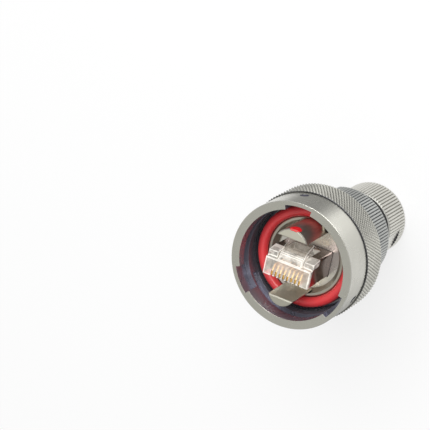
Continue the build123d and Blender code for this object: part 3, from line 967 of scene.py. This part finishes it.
@dataclass
class ModularPlug:
    """Clear plug with stepped shoulders and rounded edges, its blades and its folded shield.

    Its lengths are in mm, apart from the width of its bevelled edge.
    """

    finishes: Finishes
    count: int = 8
    pitch: float = 1.016
    edge: float = 0.14 * MM
    half_width: float = 5.84
    channel: float = 3.4
    shoulder: Outline = ((0.7, 1.1), (2.25, 1.1), (2.75, 4.35), (2.0, 4.35), (0.7, 1.9))
    root: Outline = ((0.7, 0.4), (2.25, 1.0), (2.75, 4.35), (2.0, 4.35), (0.7, 1.9))
    root_half: float = 2.9
    mouth: Outline = ((-3.7, -0.1), (-2.15, -0.1), (-2.15, 2.5), (-3.7, 2.5))
    mouth_half: float = 0.29
    blade_half: float = 0.17
    blade: Outline = ((-0.75, 1.1), (-2.3, 0.25), (-3.2, 0.25), (-3.45, 0.55), (-3.45, 5.5),
                      (-0.75, 5.5))
    cheek: Outline = ((-3.3, 1.1), (1.0, 1.1), (1.3, 4.6), (-3.3, 4.6))
    cheek_sides: Span = (5.61, 5.86)
    sharp: float = math.radians(12)

    def build(self) -> None:
        """Builds plug, blades and shield where their CAD solids lie."""
        finishes = self.finishes
        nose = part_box("modular_plug")[1][2]
        places = [(turn - (self.count - 1) / 2) * self.pitch for turn in range(self.count)]
        tiers, mouths, blades, cheeks = (bmesh.new() for _ in range(4))
        add_prism(tiers, self.shoulder, nose, (self.channel, self.half_width))
        add_prism(tiers, self.shoulder, nose, (-self.half_width, -self.channel))
        add_prism(tiers, self.root, nose, (-self.root_half, self.root_half))
        for x in places:
            add_prism(mouths, self.mouth, nose, (x - self.mouth_half, x + self.mouth_half))
            add_prism(blades, self.blade, nose, (x - self.blade_half, x + self.blade_half))
        near, far = self.cheek_sides
        add_prism(cheeks, self.cheek, nose, (near, far))
        add_prism(cheeks, self.cheek, nose, (-far, -near))
        shape = carved("modular_plug", [("UNION", mesh_from("tiers", tiers))], self.edge,
                       sharp_cuts=(mesh_from("mouths", mouths),))
        # The bevelled edges take the painted highlight finish.
        new_piece("clear_modular_plug", shape, finishes.clear, Body.SHELL,
                  "modular_plug", self.sharp, finishes.painted_edge_highlights)
        new_piece("gold_blades", blades, finishes.gold, Body.SHELL, "plug_contacts")
        shield = carved("plug_shield", [("UNION", mesh_from("cheeks", cheeks))])
        new_piece("folded_shield", shield, finishes.shield, Body.SHELL,
                  "plug_shield")


@dataclass
class IndexDot:
    """Painted dot near the end of the upper guide finger, on its round back."""

    finishes: Finishes
    radius: float = 1.4 * MM
    from_end: float = 1.1 * MM
    end_edge: float = 0.28 * MM
    half_width: float = 3.83 * MM
    finger_height: float = 2.4 * MM
    finger_back: float = 9.7 * MM
    paint: float = 0.03 * MM
    rings: int = 6
    spokes: int = 48

    def build(self) -> None:
        """Lays the paint on the finger."""
        arc = (self.half_width ** 2 + self.finger_height ** 2) / (2 * self.finger_height)
        axis_y = self.finger_back - arc
        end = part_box("plug_shell")[1][2]
        limit = end - self.end_edge

        def on_finger(across: float, up: float, lift: float) -> Point:
            """Place on the finger's back.

            Args:
                across: distance round the back from its middle.
                up: height.
                lift: distance over the back.

            Returns:
                The place.
            """
            turn = across / arc
            reach = arc + lift - max(0.0, up - limit)
            return reach * math.sin(turn), axis_y + reach * math.cos(turn), up

        shape = bmesh.new()
        rims = []
        for lift in (-self.paint, self.paint):
            centre = shape.verts.new(on_finger(0.0, end - self.from_end, lift))
            circles = []
            for ring in range(1, self.rings + 1):
                circle = []
                for spoke in range(self.spokes):
                    angle = spoke * math.tau / self.spokes
                    reach = self.radius * ring / self.rings
                    up = end - self.from_end + reach * math.sin(angle)
                    place = on_finger(reach * math.cos(angle), min(up, end), lift)
                    circle.append(shape.verts.new(place))
                circles.append(circle)
            for spoke in range(self.spokes):
                after = (spoke + 1) % self.spokes
                shape.faces.new((centre, circles[0][spoke], circles[0][after]))
            for inner, outer in zip(circles, circles[1:]):
                join_loops(shape, inner, outer)
            rims.append(circles[-1])
        join_loops(shape, *rims)
        new_piece("index_dot", shape, self.finishes.paint, Body.SHELL)


@dataclass
class CableSeal:
    """Rubber bush with rounded mouths and shallow ribs in its bore."""

    finishes: Finishes
    around: int = 96
    ribs: int = 5
    rib_steps: int = 8
    rib_height: float = 0.18 * MM
    round_edge: float = 0.35 * MM
    sharp: float = math.radians(50)

    def build(self) -> None:
        """Builds the bush where its CAD solid lies."""
        lowest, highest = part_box("cable_seal")
        outer, low, high = highest[0], lowest[2], highest[2]
        bore = frame["record"]["mounts"][0]["dims"]["r_mm"] * MM
        edge = self.round_edge
        profile = [(bore + edge, low), (outer - edge, low), (outer, low + edge),
                   (outer, high - edge), (outer - edge, high), (bore + edge, high)]
        steps = self.ribs * self.rib_steps
        for step in range(steps + 1):
            share = step / steps
            wave = self.rib_height * (0.5 - 0.5 * math.cos(math.tau * self.ribs * share))
            profile.append((bore + wave, high - edge - (high - low - 2 * edge) * share))
        new_piece("ribbed_cable_seal", turned(profile, self.around), self.finishes.black,
                  Body.BACKSHELL, "cable_seal", self.sharp)


@dataclass
class WaveWasher:
    """Spring washer of three waves, built at rest; the real one flattens as the coupling ring is
    drawn forward.
    """

    finishes: Finishes
    around: int = 144
    waves: int = 3
    width: float = 1.4 * MM
    thickness: float = 0.3 * MM
    joint: str = "ring_float"

    def build(self) -> None:
        """Builds the washer where its CAD solid lies."""
        lowest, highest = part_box("wave_washer")
        outer, low, high = highest[0], lowest[2], highest[2]
        inner = outer - self.width
        swing = (high - low - self.thickness) / 2
        shape = bmesh.new()
        sections = []
        for step in range(self.around):
            angle = step * math.tau / self.around
            middle = (low + high) / 2 + swing * math.cos(self.waves * angle)
            below, above = middle - self.thickness / 2, middle + self.thickness / 2
            corners = ((inner, below), (outer, below), (outer, above), (inner, above))
            sections.append([shape.verts.new(round_point(r, angle, z)) for r, z in corners])
        for step, one in enumerate(sections):
            join_loops(shape, one, sections[(step + 1) % self.around])
        washer = new_piece("flat_wave_washer", shape, self.finishes.spring, Body.SHELL,
                           "wave_washer")
        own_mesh(washer)


@dataclass
class Studio:
    """White floor, one soft lamp, an even sky and the camera at the photograph's view."""

    camera_place: Point = (0.130614, 0.144752, 0.374127)
    camera_forward: Point = (-0.3927, -0.3615, -0.8457)
    camera_up: Point = (-0.3322, 0.9132, -0.2361)
    lens: float = 138.9
    nearest: float = 0.01
    floor_half: float = 3.0
    floor_gap: float = 0.02 * MM
    floor_colour: Colour = (0.92, 0.92, 0.92, 1.0)
    floor_roughness: float = 0.9
    seen_white: float = 0.70
    mirrored_white: float = 0.9
    mirrored_tones: Outline = (
        (-180, 1.0), (-150, 0.95), (-110, 0.6), (-78, 0.38), (-50, 0.62), (-30, 0.78),
        (20, 0.78), (40, 0.9), (56, 1.1), (74, 1.1), (86, 0.5), (98, 0.2), (138, 0.25),
        (158, 0.9), (180, 1.0))
    near_tone: float = 0.85
    tones_from: Span = (12 * MM, 36 * MM)
    sky_strength: float = 0.62
    horizon: Colour = (0.62, 0.64, 0.68, 1.0)
    horizon_rise: Span = (0.0, 0.6)
    sky_flag: Point = (-0.37, -0.38, 0.848)
    flag_edge: Span = (0.82, 0.97)
    flag_colour: Colour = (0.75, 0.75, 0.72, 1.0)
    lamp_turn: float = math.radians(84.0)
    lamp_rise: float = math.radians(54.0)
    lamp_distance: float = 0.65
    lamp_size: float = 0.5
    lamp_power: float = 3.4
    lamp_target: Point = (0, 0, 0.03)

    def build(self) -> None:
        """Sets the whole studio up."""
        self._camera()
        self._floor()
        self._sky()
        self._lamp()
        bpy.context.scene.view_settings.view_transform = "Standard"

    def _camera(self) -> None:
        """Places the camera."""
        forward = Vector(self.camera_forward).normalized()
        right = forward.cross(Vector(self.camera_up)).normalized()
        up = right.cross(forward)
        data = bpy.data.cameras.new("camera")
        data.lens = self.lens
        data.clip_start = self.nearest
        camera = bpy.data.objects.new("camera", data)
        turn = Matrix((right, up, -forward)).transposed().to_4x4()
        camera.matrix_world = Matrix.Translation(self.camera_place) @ turn
        bpy.context.collection.objects.link(camera)
        bpy.context.scene.camera = camera

    def _floor(self) -> None:
        """Lays the white floor, which keeps a soft shadow of the connector."""
        half = self.floor_half
        corners = [(-half, -half, 0), (half, -half, 0), (half, half, 0), (-half, half, 0)]
        mesh = bpy.data.meshes.new("floor")
        mesh.from_pydata(corners, [], [(0, 1, 2, 3)])
        floor = bpy.data.objects.new("floor", mesh)
        floor.location.z = CAD_BOX[0][2] - self.floor_gap
        bpy.context.collection.objects.link(floor)
        material, graph, shader = new_material("white_floor")
        graph.feed(shader, {"Base Color": self.floor_colour, "Roughness": self.floor_roughness})
        path = graph.add("ShaderNodeLightPath").outputs
        seen = graph.maths("MAXIMUM", path["Is Camera Ray"], path["Is Transmission Ray"])
        seen = graph.product(seen, self.seen_white)
        mirrored = graph.product(path["Is Glossy Ray"], self.mirrored_white)
        share = graph.maths("MAXIMUM", seen, mirrored)
        # Painted reflections: glossy rays see the floor in light and dark panels round the
        # connector.
        tone = graph.between(path["Is Glossy Ray"], 1.0, self._tones_around(graph))
        white = graph.add("ShaderNodeEmission", {"Color": WHITE, "Strength": tone}).outputs[0]
        mix = graph.add("ShaderNodeMixShader", {0: share, 1: shader.outputs[0], 2: white})
        output = next(node for node in graph.tree.nodes if node.type == "OUTPUT_MATERIAL")
        graph.feed(output, {"Surface": mix.outputs[0]})
        mesh.materials.append(material)

    def _tones_around(self, graph: Graph) -> Socket:
        """Painted reflections: soft light and dark panels on the floor that only glossy rays see,
        and which the connector's metal mirrors.

        Args:
            graph: the floor material's nodes.

        Returns:
            The tone at each place of the floor.
        """
        around = graph.add("ShaderNodeTexGradient", {0: graph.place()}, gradient_type="RADIAL")
        ramp = graph.add("ShaderNodeValToRGB", {0: around.outputs["Fac"]})
        ramp.color_ramp.interpolation = "EASE"
        stops = ramp.color_ramp.elements
        inner = [stops.new(azimuth / 360 + 0.5) for azimuth, _ in self.mirrored_tones[1:-1]]
        for stop, (_, tone) in zip((stops[0], *inner, stops[-1]), self.mirrored_tones):
            stop.color = (tone, tone, tone, 1.0)
        radius, _ = graph.axis_place()
        far = graph.ramp(radius, *self.tones_from)
        return graph.between(far, self.near_tone, ramp.outputs[0])

    def _sky(self) -> None:
        """Lights the scene, darker low down and towards a flag, and shows white behind it."""
        world = bpy.data.worlds.new("sky")
        world.use_nodes = True
        bpy.context.scene.world = world
        graph = Graph(world.node_tree)
        background = world.node_tree.nodes["Background"]
        place = graph.add("ShaderNodeTexCoord").outputs["Generated"]
        height = graph.add("ShaderNodeSeparateXYZ", {0: place}).outputs[2]
        shade = graph.blend(graph.ramp(height, *self.horizon_rise), self.horizon, WHITE)
        flag = graph.ramp(graph.dot(place, self.sky_flag), *self.flag_edge)
        sky = graph.blend(flag, shade, self.flag_colour)
        straight = graph.add("ShaderNodeLightPath").outputs["Is Camera Ray"]
        graph.feed(background, {"Color": graph.blend(straight, sky, WHITE),
                                "Strength": graph.between(straight, self.sky_strength, 1.0)})

    def _lamp(self) -> None:
        """Adds the soft square lamp that points at the connector."""
        away = Vector(round_point(math.cos(self.lamp_rise), self.lamp_turn,
                                  math.sin(self.lamp_rise)))
        data = bpy.data.lights.new("key_lamp", "AREA")
        data.shape = "SQUARE"
        data.size = self.lamp_size
        data.energy = self.lamp_power
        lamp = bpy.data.objects.new("key_lamp", data)
        lamp.location = away * self.lamp_distance + Vector(self.lamp_target)
        lamp.rotation_euler = away.to_track_quat("Z", "Y").to_euler()
        bpy.context.collection.objects.link(lamp)


def dress_frame(finishes: Finishes) -> None:
    """Gives every CAD node its finish.

    Args:
        finishes: the connector's finishes.
    """
    for name, finish in finishes.by_node().items():
        for material_slot in frame["nodes"][name].material_slots:
            material_slot.material = finish
        log.info("%s: %s", name, finish.name)


def main() -> None:
    """Builds the looks, piece by piece."""
    logging.basicConfig(level=logging.INFO, format="%(name)s: %(message)s")
    Effects().build()
    finishes = Finishes()
    dress_frame(finishes)
    for part in (CouplingRing, FaceSeal, ModularPlug, IndexDot, CableSeal, WaveWasher):
        part(finishes).build()
    Studio().build()


if __name__ == "__main__":
    main()
